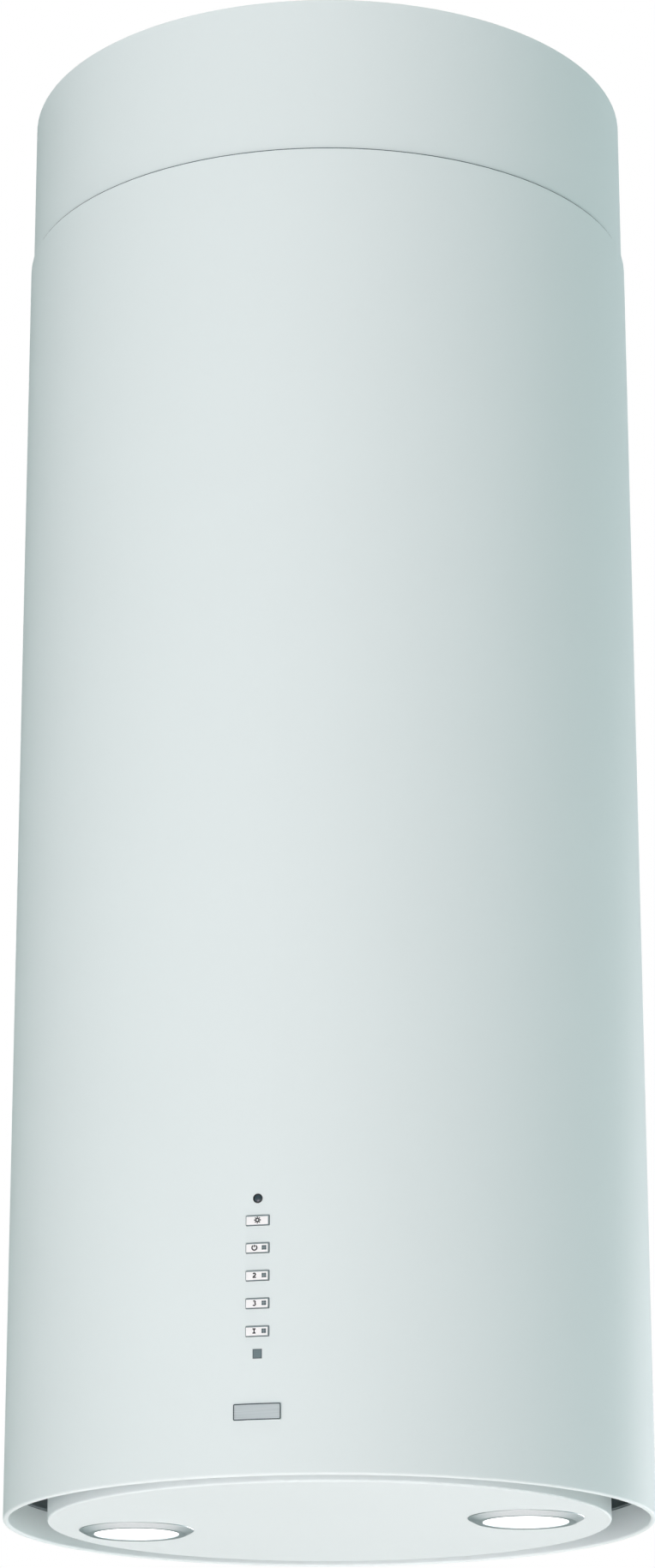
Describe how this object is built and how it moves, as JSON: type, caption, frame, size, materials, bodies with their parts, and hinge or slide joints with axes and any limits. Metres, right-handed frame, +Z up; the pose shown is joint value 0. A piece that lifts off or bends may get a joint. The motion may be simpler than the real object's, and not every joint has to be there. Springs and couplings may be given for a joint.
{
  "type": "island range hood",
  "caption": "Ceiling-hung cylindrical kitchen hood with telescopic tubes, hinged suction panel with lamps, push-button controls, grease filter, blower and duct spigot.",
  "frame": {"origin": "centre of the ceiling plate's top face, where it meets the ceiling", "axes": "+Z up along the cylinder's axis, -Y towards the controls, +X to the right seen from the controls"},
  "size_m": [0.3699, 0.3706, 0.8727],
  "materials": {
    "white_lacquer": "satin",
    "galvanised_steel": "satin",
    "liner_steel": "satin",
    "zinc_steel": "satin",
    "filter_aluminium": "satin",
    "ferrite": "matte",
    "satin_chrome": "satin",
    "lamp_glass": "frosted, lit",
    "lamp_aluminium": "satin",
    "black_plastic": "matte",
    "grey_plastic": "matte",
    "motor_enamel": "satin",
    "button_plastic": "satin",
    "smoked_plastic": "gloss",
    "sensor_black": "gloss",
    "brushed_plate": "brushed",
    "board_green": "satin"
  },
  "bodies": {
    "ceiling_mount": {"ceiling_plate": "galvanised_steel", "upper_posts": "galvanised_steel", "upper_tube": "white_lacquer", "tube_hangers": "galvanised_steel", "hanger_screws": "zinc_steel"},
    "hood": {"lower_posts": "galvanised_steel", "clamp_bolts": "zinc_steel", "lower_tube": "white_lacquer", "tube_brackets": "galvanised_steel", "suction_liner": "liner_steel", "filter_frame": "filter_aluminium", "filter_mesh": "filter_aluminium", "filter_keepers": "galvanised_steel", "hinge_arms": "galvanised_steel", "hinge_pins": "zinc_steel", "catch_magnets": "ferrite", "blower_carrier": "galvanised_steel", "blower_shell_left": "black_plastic", "blower_shell_right": "black_plastic", "blower_motor": "motor_enamel", "motor_bracket": "galvanised_steel", "outlet_spigot": "black_plastic", "damper_pin": "zinc_steel", "deck_screws": "zinc_steel", "control_housing": "grey_plastic", "circuit_board": "board_green", "push_switches": "black_plastic", "sensor_ring": "sensor_black", "sensor_lens": "sensor_black", "filter_indicator": "smoked_plastic", "name_plate": "brushed_plate", "electronics_box": "galvanised_steel", "electronics_lid": "galvanised_steel", "transformer": "motor_enamel", "capacitor": "grey_plastic", "cable_gland": "black_plastic"},
    "panel": {"panel_tray": "white_lacquer", "hinge_ears": "galvanised_steel", "strike_plates": "galvanised_steel", "lamp_bezel_left": "satin_chrome", "lamp_bezel_right": "satin_chrome", "lamp_lens_left": "lamp_glass", "lamp_lens_right": "lamp_glass", "lamp_housing_left": "lamp_aluminium", "lamp_housing_right": "lamp_aluminium", "lamp_bulbs": "lamp_glass"},
    "fan": {"impeller": "black_plastic", "motor_shaft": "zinc_steel"},
    "damper_front": {"damper_flap_front": "grey_plastic"},
    "damper_rear": {"damper_flap_rear": "grey_plastic"},
    "latch": {"filter_latch": "filter_aluminium"},
    "key_light": {"button_light": "button_plastic"},
    "key_power": {"button_power": "button_plastic", "led_window_power": "smoked_plastic"},
    "key_speed_two": {"button_speed_two": "button_plastic", "led_window_speed_two": "smoked_plastic"},
    "key_speed_three": {"button_speed_three": "button_plastic", "led_window_speed_three": "smoked_plastic"},
    "key_intensive": {"button_intensive": "button_plastic", "led_window_intensive": "smoked_plastic"}
  },
  "joints": [
    {"name": "height_slide", "type": "slide", "parent": "ceiling_mount", "child": "hood", "axis": [0, 0, 1], "range_m": [-0.24, 0.08]},
    {"name": "panel_hinge", "type": "hinge", "parent": "hood", "child": "panel", "pos_m": [0, 0.14, -0.86], "axis": [1, 0, 0], "range_deg": [0, 90]},
    {"name": "fan_spin", "type": "hinge", "parent": "hood", "child": "fan", "pos_m": [0, -0.046, -0.64], "axis": [1, 0, 0], "continuous": true},
    {"name": "damper_front_swing", "type": "hinge", "parent": "hood", "child": "damper_front", "pos_m": [0, 0, -0.512], "axis": [-1, 0, 0], "range_deg": [0, 75]},
    {"name": "damper_rear_swing", "type": "hinge", "parent": "hood", "child": "damper_rear", "pos_m": [0, 0, -0.512], "axis": [1, 0, 0], "range_deg": [0, 75]},
    {"name": "latch_slide", "type": "slide", "parent": "hood", "child": "latch", "axis": [0, 1, 0], "range_m": [0, 0.006], "stiffness_N_per_m": 500},
    {"name": "press_light", "type": "slide", "parent": "hood", "child": "key_light", "axis": [0, 1, 0], "range_m": [0, 0.001], "stiffness_N_per_m": 1500},
    {"name": "press_power", "type": "slide", "parent": "hood", "child": "key_power", "axis": [0, 1, 0], "range_m": [0, 0.001], "stiffness_N_per_m": 1500},
    {"name": "press_speed_two", "type": "slide", "parent": "hood", "child": "key_speed_two", "axis": [0, 1, 0], "range_m": [0, 0.001], "stiffness_N_per_m": 1500},
    {"name": "press_speed_three", "type": "slide", "parent": "hood", "child": "key_speed_three", "axis": [0, 1, 0], "range_m": [0, 0.001], "stiffness_N_per_m": 1500},
    {"name": "press_intensive", "type": "slide", "parent": "hood", "child": "key_intensive", "axis": [0, 1, 0], "range_m": [0, 0.001], "stiffness_N_per_m": 1500}
  ]
}
